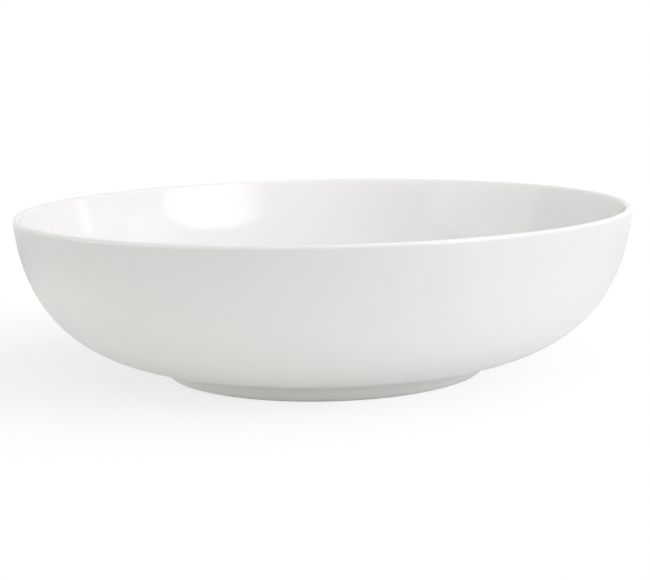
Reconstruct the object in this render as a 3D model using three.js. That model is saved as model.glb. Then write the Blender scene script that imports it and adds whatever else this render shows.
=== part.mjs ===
// A wide, low salad bowl of white glazed porcelain on a foot ring.
// The shell and the foot ring are made apart and bonded with slip. Glaze then covers everything
// but the edge that the bowl stands on, so the outline that shows is the outside of the glaze.
// Millimetres, +Z up. The bowl's axis is Z and its foot stands on z = 0.

import * as THREE from 'three';

// Driving dimensions: the shell, measured over the glaze
const rimDiameter = 300;
const height = 82;
const rimThickness = 3.3;
const floorThickness = 5.5;
const floorDiameter = 144;
// Degrees that the wall leans out at the rim, and climbs where it leaves the foot
const rimLean = 5;
const wallClimb = 9;
// How far each face of the wall follows its end directions, as shares of its rise and of its spread
const outsideFullnessAtRim = 0.5;
const outsideFullnessAtFoot = 0.685;
const insideFullnessAtRim = 0.49;
const insideFullnessAtFloor = 0.73;

// Driving dimensions: the foot, measured over the glaze
const footDiameter = 143;
const bearingWidth = 5;
const footHeight = 9.2;
// For each face of the foot: the degrees that it leans away from the flat as it rises,
// the radius of its rounded lower edge, and the radius of the hollow fillet under the shell
const outerLean = 38;
const outerRound = 10;
const outerFillet = 7;
const innerLean = 8;
const innerRound = 2;
const innerFillet = 2.5;

// Driving dimensions: the layers
const glazeThickness = 0.35;
const bareEdgeHeight = 1;
const slipThickness = 0.6;
const seam = 0.1;

// Facets
const turnSegments = 48;
const rimSteps = 4;
const wallSteps = 10;
const filletSteps = 3;
const edgeSteps = 3;

// White glaze, bare white porcelain, and slip of the same clay
const glazeFinish = { color: 0xf3f2ee, roughness: 0.12, metalness: 0 };
const porcelainFinish = { color: 0xebe8e0, roughness: 0.7, metalness: 0 };
const slipFinish = { color: 0xe4e0d6, roughness: 0.85, metalness: 0 };

const { degToRad, radToDeg, lerp } = THREE.MathUtils;

// Depth of the porcelain's own surface under the glazed one
const coatDepth = glazeThickness + seam;

// A place on the glazed surface: radius, height, and the step into the porcelain per millimetre of depth
const place = (r, z, inR, inZ) => ({ r, z, inR, inZ });

// The line that runs a given depth below a row of places
const below = (places, depth) => places.map(
  (p) => new THREE.Vector2(p.r + p.inR * depth, p.z + p.inZ * depth),
);

// A row of values from one to another, both included
const row = (from, to, steps) => Array.from({ length: steps + 1 }, (_, i) => lerp(from, to, i / steps));

// The round rim, one half at a time, in degrees from straight out
const rimRound = rimThickness / 2;
const rimCentreR = rimDiameter / 2 - rimRound;
const rimCentreZ = height - rimRound;
// Half the angle between the two glaze coats, which leaves a seam along the crown
const crownGap = radToDeg(Math.asin(seam / 2 / (rimRound - glazeThickness)));

function rimHalf(from, to) {
  return row(degToRad(from), degToRad(to), rimSteps).map((angle) => {
    const c = Math.cos(angle);
    const s = Math.sin(angle);
    return place(rimCentreR + rimRound * c, rimCentreZ + rimRound * s, -c, -s);
  });
}

// One face of the foot: a hollow fillet under the shell, a straight face that leans in as it goes down,
// and a rounded lower edge that runs out onto the flat. side is 1 for the outer face and -1 for the
// inner one, and climb is the shell's slope at the fillet.
function footFace(baseR, side, climb, lean, round, hollow) {
  const steepest = 90 - lean;
  const slope = degToRad(steepest);
  const centreZ = footHeight - hollow * Math.cos(degToRad(climb));
  const straightRise = centreZ + hollow * Math.cos(slope) - round * (1 - Math.cos(slope));
  const centreR = baseR + side * ((round + hollow) * Math.sin(slope) + straightRise / Math.tan(slope));

  // Places on the fillet, in degrees from its top
  const fillet = (from, to) => row(degToRad(from), degToRad(to), filletSteps).map((angle) => {
    const inR = -side * Math.sin(angle);
    const inZ = Math.cos(angle);
    return place(centreR + hollow * inR, centreZ + hollow * inZ, inR, inZ);
  });

  // Where the porcelain's own fillet passes a height, in degrees from its top
  const filletAngle = (z) => radToDeg(Math.acos((z - centreZ) / (hollow + coatDepth)));

  // Places on the lower edge, in degrees from the flat. The layers step straight in here, so the coat
  // thins out as the edge turns under.
  const edge = (from, to) => row(degToRad(from), degToRad(to), edgeSteps).map((angle) => place(
    baseR + side * round * Math.sin(angle),
    round * (1 - Math.cos(angle)),
    -side / Math.sin(slope),
    0,
  ));

  const glazeEnd = radToDeg(Math.acos(1 - bareEdgeHeight / round));
  return {
    fillet,
    filletAngle,
    steepest,
    glazedEdge: edge(steepest, glazeEnd),
    bareEdge: edge(glazeEnd, 0),
    glazedFace: [...fillet(climb, steepest), ...edge(steepest, glazeEnd)],
  };
}

const footOuter = footFace(footDiameter / 2, 1, wallClimb, outerLean, outerRound, outerFillet);
const footInner = footFace(footDiameter / 2 - bearingWidth, -1, 0, innerLean, innerRound, innerFillet);

// A face of the wall, one curve down from the rim. side is 1 for the outer face and -1 for the inner one.
const wallShares = row(0, 1, wallSteps).slice(1);
const downFromRim = new THREE.Vector2(-Math.sin(degToRad(rimLean)), -Math.cos(degToRad(rimLean)));

function wallFace(top, end, side, endClimb, fullnessAtTop, fullnessAtEnd) {
  const from = new THREE.Vector2(top.r, top.z);
  const to = new THREE.Vector2(end.r, end.z);
  const outFromEnd = new THREE.Vector2(Math.cos(degToRad(endClimb)), Math.sin(degToRad(endClimb)));
  const curve = new THREE.CubicBezierCurve(
    from,
    from.clone().addScaledVector(downFromRim, fullnessAtTop * (from.y - to.y)),
    to.clone().addScaledVector(outFromEnd, fullnessAtEnd * (from.x - to.x)),
    to,
  );
  return wallShares.map((share) => {
    const at = curve.getPoint(share);
    const along = curve.getTangent(share);
    return place(at.x, at.y, side * along.y, -side * along.x);
  });
}

const floorZ = footHeight + floorThickness;
const floorEdge = place(floorDiameter / 2, floorZ, 0, -1);
const floorMiddle = place(0, floorZ, 0, -1);
const outerRim = rimHalf(90 - crownGap, -rimLean);
const innerRim = rimHalf(90 + crownGap, 180 - rimLean);
const outerWall = wallFace(
  outerRim[rimSteps], footOuter.glazedFace[0], 1, wallClimb, outsideFullnessAtRim, outsideFullnessAtFoot,
);
const innerWall = wallFace(
  innerRim[rimSteps], floorEdge, -1, 0, insideFullnessAtRim, insideFullnessAtFloor,
);

// The three glazed faces
const outsideFace = [...outerRim, ...outerWall, ...footOuter.glazedFace.slice(1)];
const insideFace = [...innerRim, ...innerWall, floorMiddle];
const recessFace = [place(0, footHeight, 0, 1), ...footInner.glazedFace];

// The layers of the joint, from the shell's flat underside down to the top of the foot ring
const shellOutside = below([...outerRim, ...outerWall], coatDepth);
const undersideZ = shellOutside.at(-1).y;
const slipTopZ = undersideZ - seam;
const slipBottomZ = slipTopZ - slipThickness;
const ringTopZ = slipBottomZ - seam;

// A stretch of the porcelain's own fillet, between two heights
const filletStretch = (face, fromZ, toZ) => (
  below(face.fillet(face.filletAngle(fromZ), face.filletAngle(toZ)), coatDepth)
);

// One side of the foot ring, from its top down to its flat
const ringSide = (face) => below([
  ...face.fillet(face.filletAngle(ringTopZ), face.steepest),
  ...face.glazedEdge,
  ...face.bareEdge.slice(1),
], coatDepth);

const closed = (outline) => [...outline, outline[0]];

const profiles = {
  bowl_body: [
    new THREE.Vector2(0, undersideZ),
    ...shellOutside.toReversed(),
    ...below(insideFace, coatDepth),
  ],
  foot_ring: closed([...ringSide(footOuter).reverse(), ...ringSide(footInner)]),
  slip_joint: closed([
    ...filletStretch(footOuter, slipBottomZ, slipTopZ),
    ...filletStretch(footInner, slipTopZ, slipBottomZ),
  ]),
  inside_glaze: [...below(insideFace, glazeThickness).reverse(), ...below(insideFace, 0)],
  outside_glaze: closed([...below(outsideFace, 0).reverse(), ...below(outsideFace, glazeThickness)]),
  recess_glaze: [...below(recessFace, 0), ...below(recessFace, glazeThickness).reverse()],
};

const finishes = {
  bowl_body: porcelainFinish,
  foot_ring: porcelainFinish,
  slip_joint: slipFinish,
  inside_glaze: glazeFinish,
  outside_glaze: glazeFinish,
  recess_glaze: glazeFinish,
};

// Every piece is turned about the bowl's axis
const bowl = new THREE.Group();
for (const [name, profile] of Object.entries(profiles)) {
  const geometry = new THREE.LatheGeometry(profile, turnSegments);
  const piece = new THREE.Mesh(geometry, new THREE.MeshStandardMaterial(finishes[name]));
  piece.name = name;
  piece.rotation.x = Math.PI / 2;
  bowl.add(piece);
}

export default bowl;
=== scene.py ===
"""A wide, low salad bowl of white glazed porcelain on a foot ring.

Six turned pieces, one inside the next: a foot ring and a shell bonded with slip, and three coats of
glaze. Metres, +Z up, with the bowl's axis on Z and its foot on z = 0.
"""

import math

import bpy
import numpy as np
from mathutils import Matrix, Vector


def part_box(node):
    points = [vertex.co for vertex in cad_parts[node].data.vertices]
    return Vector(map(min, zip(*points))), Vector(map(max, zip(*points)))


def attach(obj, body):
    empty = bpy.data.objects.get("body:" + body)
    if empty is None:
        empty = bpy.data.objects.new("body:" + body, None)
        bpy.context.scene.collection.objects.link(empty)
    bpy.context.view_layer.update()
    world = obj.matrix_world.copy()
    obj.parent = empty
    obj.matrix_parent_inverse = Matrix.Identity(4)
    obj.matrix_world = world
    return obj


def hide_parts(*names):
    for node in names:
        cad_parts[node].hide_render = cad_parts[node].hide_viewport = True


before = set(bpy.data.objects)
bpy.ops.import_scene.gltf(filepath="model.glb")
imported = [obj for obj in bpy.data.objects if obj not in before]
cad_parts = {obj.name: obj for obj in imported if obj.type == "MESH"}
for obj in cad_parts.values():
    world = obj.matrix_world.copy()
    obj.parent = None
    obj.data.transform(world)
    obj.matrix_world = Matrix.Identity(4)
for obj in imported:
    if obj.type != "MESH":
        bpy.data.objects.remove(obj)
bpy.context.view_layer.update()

# The foot ring
# A low ring of white porcelain, made apart from the bowl and bonded under it while the clay is damp.
# Its bearing edge is wiped clean before the glaze is fired and rubbed smooth afterwards, so that it
# shows bare and matt.

MM = 0.001
FOOT_HEIGHT = 9.2 * MM
FOOT_RADIUS = 71.5 * MM
BEARING_WIDTH = 5 * MM
WALL_CLIMB = math.radians(9)
GLAZE = 0.35 * MM
SEAM = 0.1 * MM
COAT = GLAZE + SEAM
TURN_STEPS = 240
FILLET_STEPS = 12
EDGE_STEPS = 24
SHARP_CORNER = math.radians(35)

# The outer and the inner face of the wall and of the foot, as the way that each faces along the radius
OUTER = 1
INNER = -1

# For each face of the foot: where its edge meets the flat, the shell's slope above it, its own slope,
# and the radii of its edge and of its fillet
FOOT_FACES = {
    OUTER: (FOOT_RADIUS, WALL_CLIMB, math.radians(52), 10 * MM, 7 * MM),
    INNER: (FOOT_RADIUS - BEARING_WIDTH, 0, math.radians(82), 2 * MM, 2.5 * MM),
}

BARE_WHITE = "#ece9e1"
BARE_SHADE = "#e3dfd5"
BARE_ROUGHNESS = 0.65
CERAMIC_IOR = 1.5
BLOTCH = 14 * MM
RUB_MARKS = "#cfcbc2"
RUB_STRENGTH = 0.6
RUBBED_HEIGHT = 0.5 * MM
# The real grit is finer, and this is drawn as coarse as it needs to show
GRIT = 0.3 * MM
GRIT_DEPTH = 0.03 * MM
GRIT_STRENGTH = 0.5


def foot_edge(side, depth, a):
    """Places on the foot's rounded lower edge, at angles a from the flat.

    r = base + side * round_radius * sin a, z = round_radius * (1 - cos a). Depth under the glazed surface
    steps straight in, so the coat thins out as the edge turns under.
    """
    base, _, slope, round_radius, _ = FOOT_FACES[side]
    r = base + side * (round_radius * np.sin(a) - depth / math.sin(slope))
    return np.stack([r, round_radius * (1 - np.cos(a))], axis=1)


def foot_fillet(side, depth, top):
    """Places on the hollow fillet above the foot's face, from a height down to the face.

    c + (hollow + depth) (-side sin a, cos a), with the centre c beside the foot.
    """
    base, climb, slope, round_radius, hollow = FOOT_FACES[side]
    centre_z = FOOT_HEIGHT - hollow * math.cos(climb)
    rise = centre_z + hollow * math.cos(slope) - round_radius * (1 - math.cos(slope))
    centre_r = base + side * ((round_radius + hollow) * math.sin(slope) + rise / math.tan(slope))
    radius = hollow + depth
    a = np.linspace(math.acos(min(1, (top - centre_z) / radius)), slope, FILLET_STEPS + 1)
    return np.stack([centre_r - side * radius * np.sin(a), centre_z + radius * np.cos(a)], axis=1)


def turned(name, outline):
    """A solid of revolution: (r cos v, r sin v, z) for each (r, z) of the outline and v round the axis.

    The outline goes anticlockwise round the section. It either starts and ends on the axis, where each
    end becomes one pole, or closes on itself.
    """
    on_axis = outline[0, 0] == 0
    rings = outline[1:-1] if on_axis else outline
    v = np.linspace(0, 2 * math.pi, TURN_STEPS, endpoint=False)
    x = np.outer(rings[:, 0], np.cos(v))
    y = np.outer(rings[:, 0], np.sin(v))
    z = np.repeat(rings[:, 1:], TURN_STEPS, axis=1)
    places = np.stack([x, y, z], axis=-1).reshape(-1, 3)
    index = np.arange(len(places)).reshape(len(rings), TURN_STEPS)
    ahead = np.roll(index, -1, axis=1)
    rows = slice(None, -1) if on_axis else slice(None)
    above = np.roll(index, -1, axis=0)
    above_ahead = np.roll(ahead, -1, axis=0)
    quads = np.stack([index[rows], ahead[rows], above_ahead[rows], above[rows]], axis=-1)
    faces = quads.reshape(-1, 4).tolist()
    if on_axis:
        poles = np.stack([outline[0, 1], outline[-1, 1]])
        places = np.concatenate([places, np.stack([[0, 0], [0, 0], poles], axis=1)])
        first_pole = np.full(TURN_STEPS, len(places) - 2)
        last_pole = np.full(TURN_STEPS, len(places) - 1)
        faces += np.stack([first_pole, ahead[0], index[0]], axis=1).tolist()
        faces += np.stack([index[-1], ahead[-1], last_pole], axis=1).tolist()
    mesh = bpy.data.meshes.new(name)
    mesh.from_pydata(places.tolist(), [], faces)
    mesh.shade_smooth()
    mesh.set_sharp_from_angle(angle=SHARP_CORNER)
    piece = bpy.data.objects.new(name, mesh)
    bpy.context.scene.collection.objects.link(piece)
    return piece


def linear(code):
    """An sRGB hex colour as linear red, green, blue and alpha."""
    srgb = np.array([int(code[i:i + 2], 16) for i in (1, 3, 5)]) / 255
    return (*np.where(srgb <= 0.04045, srgb / 12.92, ((srgb + 0.055) / 1.055) ** 2.4), 1.0)


def add(tree, kind, inputs=(), **settings):
    """A new node with its settings, whose inputs take plain values or other nodes' outputs."""
    node = tree.nodes.new(kind)
    for name, value in settings.items():
        setattr(node, name, value)
    for key, value in dict(inputs).items():
        if isinstance(value, bpy.types.NodeSocket):
            tree.links.new(value, node.inputs[key])
        else:
            node.inputs[key].default_value = value
    return node


def bare_porcelain():
    """Porcelain fired without glaze and rubbed smooth: a dense, matt white with a fine grit.

    It is a little warmer than the glaze, mottled where the clay was wiped, and grey where the edge has
    been rubbed.
    """
    material = bpy.data.materials.new("bare_porcelain")
    material.use_nodes = True
    tree = material.node_tree
    tree.nodes.clear()
    place = add(tree, "ShaderNodeTexCoord").outputs["Object"]
    blotch = add(tree, "ShaderNodeTexNoise", {"Vector": place, "Scale": 1 / BLOTCH, "Detail": 3.0})
    clay = add(
        tree, "ShaderNodeMix",
        {"Factor": blotch.outputs["Fac"], "A": linear(BARE_WHITE), "B": linear(BARE_SHADE)},
        data_type="RGBA",
    )
    height = add(tree, "ShaderNodeSeparateXYZ", {"Vector": place}).outputs["Z"]
    low = add(
        tree, "ShaderNodeMapRange",
        {
            "Value": height,
            "From Min": RUBBED_HEIGHT,
            "From Max": 0.0,
            "To Min": 0.0,
            "To Max": RUB_STRENGTH,
        },
    )
    marks = add(
        tree, "ShaderNodeMath",
        {0: low.outputs["Result"], 1: blotch.outputs["Fac"]},
        operation="MULTIPLY",
    )
    rubbed = add(
        tree, "ShaderNodeMix",
        {"Factor": marks.outputs["Value"], "A": clay.outputs["Result"], "B": linear(RUB_MARKS)},
        data_type="RGBA",
    )
    grit = add(tree, "ShaderNodeTexNoise", {"Vector": place, "Scale": 1 / GRIT, "Detail": 2.0})
    bump = add(
        tree, "ShaderNodeBump",
        {"Height": grit.outputs["Fac"], "Strength": GRIT_STRENGTH, "Distance": GRIT_DEPTH},
    )
    surface = add(
        tree, "ShaderNodeBsdfPrincipled",
        {
            "Base Color": rubbed.outputs["Result"],
            "Normal": bump.outputs["Normal"],
            "Roughness": BARE_ROUGHNESS,
            "IOR": CERAMIC_IOR,
        },
    )
    add(tree, "ShaderNodeOutputMaterial", {"Surface": surface.outputs["BSDF"]})
    return material


def ring_side(side):
    """One side of the foot ring, from its top down to its flat."""
    _, _, slope, _, _ = FOOT_FACES[side]
    fillet = foot_fillet(side, COAT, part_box("foot_ring")[1].z)
    edge = foot_edge(side, COAT, np.linspace(slope, 0, EDGE_STEPS + 1))
    return np.concatenate([fillet, edge])


foot_ring = turned("turned_foot_ring", np.concatenate([ring_side(OUTER)[::-1], ring_side(INNER)]))
porcelain = bare_porcelain()
foot_ring.data.materials.append(porcelain)
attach(foot_ring, "root")
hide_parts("foot_ring")

# The slip joint
# A thin layer of slip, the same clay thinned with water, that bonds the foot ring's top to the shell.
# Its edges are sponged flush with the fillets beside it, so none of it shows under the glaze.

SLIP_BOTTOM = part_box("slip_joint")[0].z
SLIP_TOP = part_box("slip_joint")[1].z
SLIP_ROWS = 9
SLIP_WHITE = "#e4e0d6"
SLIP_SHADE = "#dad5c9"
SLIP_ROUGHNESS = 0.85
SPONGE = 2.5 * MM
SPONGE_DEPTH = 0.05 * MM
SPONGE_STRENGTH = 0.4


def joint_edge(side):
    """The slip's edge, between its two flats, along the foot's fillet."""
    edge = foot_fillet(side, COAT, SLIP_TOP)
    z = np.linspace(SLIP_TOP, SLIP_BOTTOM, SLIP_ROWS)
    return np.stack([np.interp(z, edge[::-1, 1], edge[::-1, 0]), z], axis=1)


def fired_slip():
    """Fired slip: matt like the porcelain and a shade darker, with the marks of the sponge."""
    material = bpy.data.materials.new("fired_slip")
    material.use_nodes = True
    tree = material.node_tree
    tree.nodes.clear()
    place = add(tree, "ShaderNodeTexCoord").outputs["Object"]
    sponge = add(tree, "ShaderNodeTexNoise", {"Vector": place, "Scale": 1 / SPONGE, "Detail": 4.0})
    clay = add(
        tree, "ShaderNodeMix",
        {"Factor": sponge.outputs["Fac"], "A": linear(SLIP_WHITE), "B": linear(SLIP_SHADE)},
        data_type="RGBA",
    )
    bump = add(
        tree, "ShaderNodeBump",
        {"Height": sponge.outputs["Fac"], "Strength": SPONGE_STRENGTH, "Distance": SPONGE_DEPTH},
    )
    surface = add(
        tree, "ShaderNodeBsdfPrincipled",
        {
            "Base Color": clay.outputs["Result"],
            "Normal": bump.outputs["Normal"],
            "Roughness": SLIP_ROUGHNESS,
            "IOR": CERAMIC_IOR,
        },
    )
    add(tree, "ShaderNodeOutputMaterial", {"Surface": surface.outputs["BSDF"]})
    return material


slip_joint = turned("sponged_slip_joint", np.concatenate([joint_edge(OUTER)[::-1], joint_edge(INNER)]))
slip_joint.data.materials.append(fired_slip())
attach(slip_joint, "root")
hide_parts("slip_joint")

# The shell
# The body of the bowl: a flat floor, one curved wall and a rounded rim, pressed from porcelain clay and
# fired white. It sits on the foot ring, and the glaze covers all of it.

RIM_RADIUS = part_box("outside_glaze")[1].x
BOWL_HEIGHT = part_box("outside_glaze")[1].z
RIM_THICKNESS = 3.3 * MM
FLOOR_THICKNESS = 5.5 * MM
FLOOR_RADIUS = 72 * MM
RIM_LEAN = math.radians(5)
# How far each face of the wall follows its end directions, as shares of its rise and of its spread
OUTSIDE_FULLNESS_AT_RIM = 0.5
OUTSIDE_FULLNESS_AT_FOOT = 0.685
INSIDE_FULLNESS_AT_RIM = 0.49
INSIDE_FULLNESS_AT_FLOOR = 0.73
RIM_STEPS = 16
WALL_STEPS = 96
FLOOR_STEPS = 16


def rim_half(end):
    """Half of the round rim, from its crown to the angle where the wall starts, and the ways into it.

    centre + (RIM_THICKNESS / 2) (cos a, sin a), with a measured from straight out.
    """
    round_radius = RIM_THICKNESS / 2
    centre = np.array([RIM_RADIUS - round_radius, BOWL_HEIGHT - round_radius])
    a = np.linspace(math.pi / 2, end, RIM_STEPS + 1)
    out = np.stack([np.cos(a), np.sin(a)], axis=1)
    return centre + round_radius * out, -out


def wall_face(top, end, side, climb, fullness_at_top, fullness_at_end):
    """One face of the wall and the ways into it: a cubic curve from the rim down to its end.

    It leaves each end along that end's own slope, as far as the fullness there times the wall's rise or
    spread.
    """
    down = np.array([-math.sin(RIM_LEAN), -math.cos(RIM_LEAN)])
    out = np.array([math.cos(climb), math.sin(climb)])
    upper = top + down * fullness_at_top * (top[1] - end[1])
    lower = end + out * fullness_at_end * (top[0] - end[0])
    u = np.linspace(0, 1, WALL_STEPS + 1)[1:, None]
    at = (1 - u) ** 3 * top + 3 * (1 - u) ** 2 * u * upper + 3 * (1 - u) * u**2 * lower + u**3 * end
    along = (1 - u) ** 2 * (upper - top) + 2 * (1 - u) * u * (lower - upper) + u**2 * (end - lower)
    along = along / np.linalg.norm(along, axis=1, keepdims=True)
    return at, side * np.stack([along[:, 1], -along[:, 0]], axis=1)


outer_rim, outer_rim_into = rim_half(-RIM_LEAN)
inner_rim, inner_rim_into = rim_half(math.pi - RIM_LEAN)
floor_z = FOOT_HEIGHT + FLOOR_THICKNESS
wall_foot = foot_fillet(OUTER, 0, FOOT_HEIGHT)[0]
outer_wall, outer_wall_into = wall_face(
    outer_rim[-1], wall_foot, OUTER, WALL_CLIMB, OUTSIDE_FULLNESS_AT_RIM, OUTSIDE_FULLNESS_AT_FOOT,
)
floor_edge = np.array([FLOOR_RADIUS, floor_z])
inner_wall, inner_wall_into = wall_face(
    inner_rim[-1], floor_edge, INNER, 0, INSIDE_FULLNESS_AT_RIM, INSIDE_FULLNESS_AT_FLOOR,
)
floor_r = np.linspace(FLOOR_RADIUS, 0, FLOOR_STEPS + 1)[1:]
bowl_floor = np.stack([floor_r, np.full(FLOOR_STEPS, floor_z)], axis=1)

outside = np.concatenate([outer_rim, outer_wall])
outside_into = np.concatenate([outer_rim_into, outer_wall_into])
inside = np.concatenate([inner_rim, inner_wall, bowl_floor])
inside_into = np.concatenate([inner_rim_into, inner_wall_into, np.tile([0, -1], (FLOOR_STEPS, 1))])

shell_outside = outside + COAT * outside_into
shell_inside = inside + COAT * inside_into
shell = turned("pressed_shell", np.concatenate([
    [[0, shell_outside[-1, 1]]],
    shell_outside[::-1],
    shell_inside[1:],
]))
shell.data.materials.append(porcelain)
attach(shell, "root")
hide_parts("bowl_body")

# The recess glaze
# The coat of glaze on the underside, inside the foot ring, poured in and swilled round while the bowl is
# upside down. It ends in a soft rounded bead where the foot was wiped.

GLAZE_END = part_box("recess_glaze")[0].z
GLAZE_BEAD = 0.5 * MM
BEAD_STEPS = 8
GLAZE_WHITE = "#f5f5f4"
GLAZE_SHADE = "#f1f1ef"
# The glaze's tone down the foot, a little darker and greener, strongest at the foot's lower edge
GLAZE_LOW_ON_FOOT = "#eff1ed"
LOW_ON_FOOT_TINT = 0.8
GLAZE_CLOUD = 60 * MM
CLOUD_LOW = 0.3
CLOUD_HIGH = 0.7
GLAZE_RIPPLE = 9 * MM
RIPPLE_DEPTH = 0.02 * MM
OUTSIDE_SMOOTH = 0.18
OUTSIDE_DULL = 0.24


def glazed_foot(side, depth):
    """The coat's line down one face of the foot, from the shell to where the coat ends on the lower edge.

    The outer line, at depth 0, sinks to the inner one as a quarter ellipse, which rounds the end into a
    bead.
    """
    _, climb, slope, round_radius, _ = FOOT_FACES[side]
    end = math.acos(1 - GLAZE_END / round_radius)
    fillet = foot_fillet(side, depth, FOOT_HEIGHT + depth * math.cos(climb))
    bead = end + GLAZE_BEAD / round_radius
    edge = foot_edge(side, depth, np.linspace(slope, bead, EDGE_STEPS + 1))
    t = np.linspace(0, math.pi / 2, BEAD_STEPS + 1)[1:]
    sunk = foot_edge(side, depth + (GLAZE - depth) * (1 - np.cos(t)), bead + (end - bead) * np.sin(t))
    return np.concatenate([fillet, edge, sunk])


def white_glaze(name, smooth, dull):
    """Clear glaze fired over white porcelain: a glassy, neutral white with soft-edged reflections.

    The coat is a little uneven, so its white drifts, its mirror has a slow ripple and its roughness goes
    between smooth and dull. Down the foot it is made a little darker and greener towards the lower edge.
    """
    material = bpy.data.materials.new(name)
    material.use_nodes = True
    tree = material.node_tree
    tree.nodes.clear()
    place = add(tree, "ShaderNodeTexCoord").outputs["Object"]
    cloud = add(tree, "ShaderNodeTexNoise", {"Vector": place, "Scale": 1 / GLAZE_CLOUD, "Detail": 2.0})
    white = add(
        tree, "ShaderNodeMix",
        {"Factor": cloud.outputs["Fac"], "A": linear(GLAZE_WHITE), "B": linear(GLAZE_SHADE)},
        data_type="RGBA",
    )
    height = add(tree, "ShaderNodeSeparateXYZ", {"Vector": place}).outputs["Z"]
    # The glaze is made a little darker and greener down the foot's face, most at its lower edge
    low_on_foot = add(
        tree, "ShaderNodeMapRange",
        {
            "Value": height,
            "From Min": FOOT_HEIGHT,
            "From Max": GLAZE_END,
            "To Min": 0.0,
            "To Max": LOW_ON_FOOT_TINT,
        },
        interpolation_type="SMOOTHSTEP",
    )
    colour = add(
        tree, "ShaderNodeMix",
        {"Factor": low_on_foot.outputs["Result"], "A": white.outputs["Result"], "B": linear(GLAZE_LOW_ON_FOOT)},
        data_type="RGBA",
    )
    gloss = add(
        tree, "ShaderNodeMapRange",
        {
            "Value": cloud.outputs["Fac"],
            "From Min": CLOUD_LOW,
            "From Max": CLOUD_HIGH,
            "To Min": smooth,
            "To Max": dull,
        },
    )
    ripple = add(tree, "ShaderNodeTexNoise", {"Vector": place, "Scale": 1 / GLAZE_RIPPLE, "Detail": 1.0})
    bump = add(
        tree, "ShaderNodeBump",
        {"Height": ripple.outputs["Fac"], "Strength": 1.0, "Distance": RIPPLE_DEPTH},
    )
    surface = add(
        tree, "ShaderNodeBsdfPrincipled",
        {
            "Base Color": colour.outputs["Result"],
            "Roughness": gloss.outputs["Result"],
            "Normal": bump.outputs["Normal"],
            "IOR": CERAMIC_IOR,
        },
    )
    add(tree, "ShaderNodeOutputMaterial", {"Surface": surface.outputs["BSDF"]})
    return material


recess_glaze = turned("poured_recess_glaze", np.concatenate([
    [[0, FOOT_HEIGHT]],
    glazed_foot(INNER, 0),
    glazed_foot(INNER, GLAZE)[-2::-1],
    [[0, FOOT_HEIGHT + GLAZE]],
]))
outside_white = white_glaze("white_glaze_outside", OUTSIDE_SMOOTH, OUTSIDE_DULL)
recess_glaze.data.materials.append(outside_white)
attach(recess_glaze, "root")
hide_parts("recess_glaze")

# The outside glaze
# The coat over the outside, from the rim's crown down the wall and the foot, taken up by dipping the
# fired shell. It pools in the crease above the foot, which softens it, and ends in the same bead as the
# coat inside the foot.

POOL_REACH = 94 * MM
POOL_RADIUS = 14 * MM
POOL_STEPS = 16


def pooled_crease():
    """The row of the outside where the pool of glaze starts, and its face in the crease above the foot.

    From POOL_REACH it runs straight on, with the slope that the wall has there, to where it would meet the
    foot's straight face. An arc of POOL_RADIUS that touches both lines rounds that corner.
    """
    first = np.argmin(np.abs(outside[:, 0] - POOL_REACH))
    into = outside_into[first]
    climb = math.atan2(-into[0], into[1])
    down = np.array([-math.cos(climb), -math.sin(climb)])
    _, _, slope, _, _ = FOOT_FACES[OUTER]
    face_out = np.array([math.sin(slope), -math.cos(slope)])
    to_face = foot_edge(OUTER, 0, np.array([slope]))[0] - outside[first]
    corner = outside[first] + down * (to_face @ face_out) / (down @ face_out)
    touch = corner - down * POOL_RADIUS * math.tan((slope - climb) / 2)
    centre = touch - POOL_RADIUS * into
    a = np.linspace(climb, slope, POOL_STEPS + 1)
    return first, centre + POOL_RADIUS * np.stack([-np.sin(a), np.cos(a)], axis=1)


pool_start, pool = pooled_crease()
below_pool = glazed_foot(OUTER, 0)[FILLET_STEPS + 1:]
outside_glaze = turned("dipped_outside_glaze", np.concatenate([
    np.concatenate([outside[:pool_start + 1], pool, below_pool])[::-1],
    outside + GLAZE * outside_into,
    glazed_foot(OUTER, GLAZE)[1:-1],
]))
outside_glaze.data.materials.append(outside_white)
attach(outside_glaze, "root")
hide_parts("outside_glaze")

# The inside glaze
# The coat over the floor, the inner wall and the inner half of the rim, where it meets the outside coat.
# It is poured in, swilled round and tipped out, which leaves it smoother than the dipped one.

INSIDE_SMOOTH = 0.07
INSIDE_DULL = 0.11

inside_back = inside + GLAZE * inside_into
inside_glaze = turned("poured_inside_glaze", np.concatenate([inside_back[::-1], inside]))
inside_glaze.data.materials.append(white_glaze("white_glaze_inside", INSIDE_SMOOTH, INSIDE_DULL))
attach(inside_glaze, "root")
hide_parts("inside_glaze")

# The table top and the backdrop
# A plain white sweep that the bowl stands on. It isn't part of the bowl. It keeps the bowl's soft
# shadow on the left and is white further out. In reflections that shadow is darker and wider, as if the
# table were darker.

FLOOR_SPAN = 40.0
FLOOR_WHITE = "#eeefec"
FLOOR_FAR = "#3c3c3c"
FAR_START = 0.18
FAR_END = 0.45
SHADOW_MIDDLE_SEEN = (-70 * MM, 40 * MM, 0)
SHADOW_MIDDLE_MIRRORED = (-200 * MM, 60 * MM, 0)
SHADOW_START = 0.05
SHADOW_END_SEEN = 0.25
SHADOW_END_MIRRORED = 0.8
SHADOW_SEEN = 0.72
SHADOW_MIRRORED = 0.35
FILL_LIGHT = 0.5


def seen(tree, path):
    """1 for a ray from the camera, a mirror or a pane of glass, and 0 for light that falls on the bowl."""
    glossy = add(
        tree, "ShaderNodeMath",
        {0: path.outputs["Is Camera Ray"], 1: path.outputs["Is Glossy Ray"]},
        operation="MAXIMUM",
    )
    return add(
        tree, "ShaderNodeMath",
        {0: glossy.outputs["Value"], 1: path.outputs["Is Transmission Ray"]},
        operation="MAXIMUM",
    ).outputs["Value"]


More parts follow.
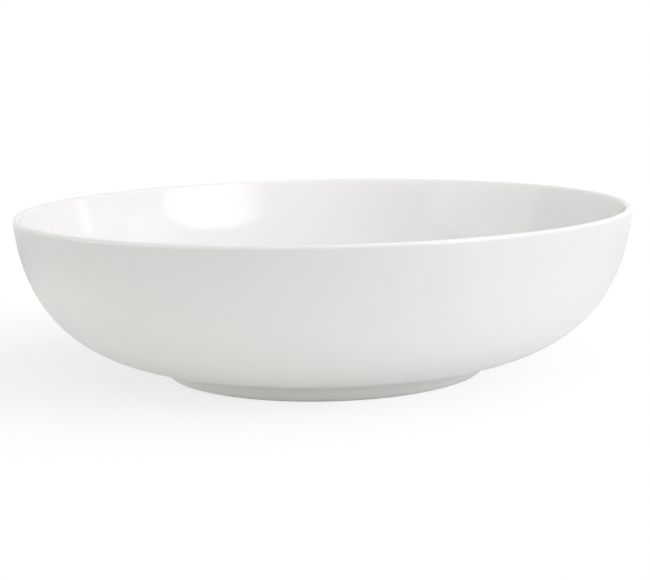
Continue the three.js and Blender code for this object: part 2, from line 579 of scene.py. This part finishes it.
def white_paper():
    """Matt white paper, mixed with the white of a lit backdrop, which takes over out of the shadow.

    The paper itself darkens between FAR_START and FAR_END, so that little of its light comes back up to
    the bowl.
    """
    material = bpy.data.materials.new("matt_white_paper")
    material.use_nodes = True
    tree = material.node_tree
    tree.nodes.clear()
    place = add(tree, "ShaderNodeTexCoord").outputs["Object"]
    path = add(tree, "ShaderNodeLightPath")
    away = add(tree, "ShaderNodeVectorMath", {0: place}, operation="LENGTH").outputs["Value"]
    far = add(
        tree, "ShaderNodeMapRange",
        {"Value": away, "From Min": FAR_START, "From Max": FAR_END, "To Min": 0.0, "To Max": 1.0},
        interpolation_type="SMOOTHSTEP",
    )
    middle = add(
        tree, "ShaderNodeMix",
        {"Factor": path.outputs["Is Camera Ray"], "A": SHADOW_MIDDLE_MIRRORED, "B": SHADOW_MIDDLE_SEEN},
        data_type="VECTOR",
    )
    leaning = add(
        tree, "ShaderNodeVectorMath", {0: place, 1: middle.outputs["Result"]}, operation="DISTANCE",
    ).outputs["Value"]
    darkest = add(
        tree, "ShaderNodeMix",
        {"Factor": path.outputs["Is Camera Ray"], "A": SHADOW_MIRRORED, "B": SHADOW_SEEN},
    )
    reach = add(
        tree, "ShaderNodeMix",
        {"Factor": path.outputs["Is Camera Ray"], "A": SHADOW_END_MIRRORED, "B": SHADOW_END_SEEN},
    )
    glowing = add(
        tree, "ShaderNodeMapRange",
        {
            "Value": leaning,
            "From Min": SHADOW_START,
            "From Max": reach.outputs["Result"],
            "To Min": darkest.outputs["Result"],
            "To Max": 1.0,
        },
        interpolation_type="SMOOTHSTEP",
    )
    share = add(
        tree, "ShaderNodeMath", {0: glowing.outputs["Result"], 1: seen(tree, path)}, operation="MULTIPLY",
    )
    paper = add(
        tree, "ShaderNodeMix",
        {"Factor": far.outputs["Result"], "A": linear(FLOOR_WHITE), "B": linear(FLOOR_FAR)},
        data_type="RGBA",
    )
    lit = add(tree, "ShaderNodeBsdfDiffuse", {"Color": paper.outputs["Result"]})
    glow = add(tree, "ShaderNodeEmission", {"Strength": 1.0})
    shown = add(
        tree, "ShaderNodeMixShader",
        {0: share.outputs["Value"], 1: lit.outputs["BSDF"], 2: glow.outputs["Emission"]},
    )
    add(tree, "ShaderNodeOutputMaterial", {"Surface": shown.outputs["Shader"]})
    return material


half = FLOOR_SPAN / 2
floor_corners = [(-half, -half, 0), (half, -half, 0), (half, half, 0), (-half, half, 0)]
floor_mesh = bpy.data.meshes.new("white_sweep")
floor_mesh.from_pydata(floor_corners, [], [(0, 1, 2, 3)])
floor = bpy.data.objects.new("white_sweep", floor_mesh)
bpy.context.scene.collection.objects.link(floor)
floor_mesh.materials.append(white_paper())

world = bpy.data.worlds.new("white_studio")
world.use_nodes = True
world.node_tree.nodes.clear()
path = add(world.node_tree, "ShaderNodeLightPath")
fill = add(world.node_tree, "ShaderNodeBackground", {"Color": (1, 1, 1, 1), "Strength": FILL_LIGHT})
white = add(world.node_tree, "ShaderNodeBackground", {"Color": (1, 1, 1, 1), "Strength": 1.0})
studio = add(
    world.node_tree, "ShaderNodeMixShader",
    {0: seen(world.node_tree, path), 1: fill.outputs["Background"], 2: white.outputs["Background"]},
)
add(world.node_tree, "ShaderNodeOutputWorld", {"Surface": studio.outputs["Shader"]})
bpy.context.scene.world = world

# The lights
# Soft studio lights: on the right a large octabox in front, which the inside of the bowl mirrors, a
# softbox high up, a small card, and a narrow strip behind, which gives the thin streak inside. A large
# panel and a low card that reaches the foot stand on the left.

AIM = Vector((0, 0, 50 * MM))
LAMP_WHITE = "#fffaff"
CARD_WHITE = "#fcfff9"


def softbox(name, azimuth, elevation, distance, width, height, strength, colour, shape="RECTANGLE"):
    """A flat light that faces the bowl, from an azimuth and an elevation in degrees.

    Azimuth goes from the camera's side round to the right. Distance, width and height are in metres, and
    strength is the light's own brightness.
    """
    a, e = math.radians(azimuth), math.radians(elevation)
    away = Vector((math.sin(a) * math.cos(e), -math.cos(a) * math.cos(e), math.sin(e)))
    light = bpy.data.lights.new(name, "AREA")
    light.shape = shape
    light.size = width
    light.size_y = height
    light.color = linear(colour)[:3]
    area = width * height * (math.pi / 4 if shape == "ELLIPSE" else 1)
    light.energy = strength * math.pi * area
    lamp = bpy.data.objects.new(name, light)
    lamp.location = AIM + away * distance
    lamp.rotation_euler = (-away).to_track_quat("-Z", "Y").to_euler()
    bpy.context.scene.collection.objects.link(lamp)
    return lamp


def feather(lamp, edge_share, side_share):
    """Fades an oval light out over the last edge_share of its half width and half height.

    It is also dimmed on its left, from full at side_share of its width to nothing at its edge.
    """
    lamp.data.use_nodes = True
    tree = lamp.data.node_tree
    tree.nodes.clear()
    place = add(tree, "ShaderNodeNewGeometry").outputs["Parametric"]
    middle = (0.5, 0.5, 0.0)
    away = add(tree, "ShaderNodeVectorMath", {0: place, 1: middle}, operation="DISTANCE").outputs["Value"]
    edge = add(
        tree, "ShaderNodeMapRange",
        {"Value": away, "From Min": 0.5, "From Max": 0.5 - edge_share / 2, "To Min": 0.0, "To Max": 1.0},
        interpolation_type="SMOOTHSTEP",
    )
    across = add(tree, "ShaderNodeSeparateXYZ", {"Vector": place}).outputs["X"]
    side = add(
        tree, "ShaderNodeMapRange",
        {"Value": across, "From Min": 0.0, "From Max": side_share, "To Min": 0.0, "To Max": 1.0},
        interpolation_type="SMOOTHSTEP",
    )
    level = add(
        tree, "ShaderNodeMath",
        {0: edge.outputs["Result"], 1: side.outputs["Result"]},
        operation="MULTIPLY",
    )
    glow = add(tree, "ShaderNodeEmission", {"Strength": level.outputs["Value"]})
    add(tree, "ShaderNodeOutputLight", {"Surface": glow.outputs["Emission"]})


softbox(
    "high_softbox", azimuth=80, elevation=68, distance=1.4, width=1.1, height=0.8, strength=1.85,
    colour=LAMP_WHITE,
)
octabox = softbox(
    "right_octabox", azimuth=48, elevation=14.2, distance=1.3, width=1.26, height=1.05, strength=3.4,
    colour=LAMP_WHITE, shape="ELLIPSE",
)
feather(octabox, edge_share=0.2, side_share=0.38)
softbox(
    "left_panel", azimuth=-76, elevation=16, distance=1.5, width=1.46, height=1.0, strength=0.94,
    colour=CARD_WHITE,
)
softbox(
    "left_card", azimuth=-62, elevation=0.6, distance=1.5, width=1.7, height=0.13, strength=5.2,
    colour=CARD_WHITE,
)
softbox(
    "right_card", azimuth=85, elevation=24, distance=1.3, width=0.5, height=0.5, strength=0.8,
    colour=LAMP_WHITE,
)
softbox(
    "right_strip", azimuth=118, elevation=7, distance=1.3, width=0.14, height=0.32, strength=1.3,
    colour=LAMP_WHITE,
)

# The camera
# It stands a little above the rim and looks slightly down at the bowl. It was held a degree off level.

CAMERA_PLACE = Vector((0, -859.2 * MM, 172.6 * MM))
CAMERA_YAW = math.radians(0.036)
CAMERA_PITCH = math.radians(8.738)
CAMERA_ROLL = math.radians(-1.167)
SENSOR_WIDTH = 36.0
LENS = 97.38

camera_data = bpy.data.cameras.new("camera")
camera_data.sensor_width = SENSOR_WIDTH
camera_data.lens = LENS
camera = bpy.data.objects.new("camera", camera_data)
turn = (
    Matrix.Rotation(-CAMERA_YAW, 4, "Z")
    @ Matrix.Rotation(math.pi / 2 - CAMERA_PITCH, 4, "X")
    @ Matrix.Rotation(CAMERA_ROLL, 4, "Z")
)
camera.matrix_world = Matrix.Translation(CAMERA_PLACE) @ turn
bpy.context.scene.collection.objects.link(camera)
bpy.context.scene.camera = camera
bpy.context.scene.view_settings.view_transform = "Standard"
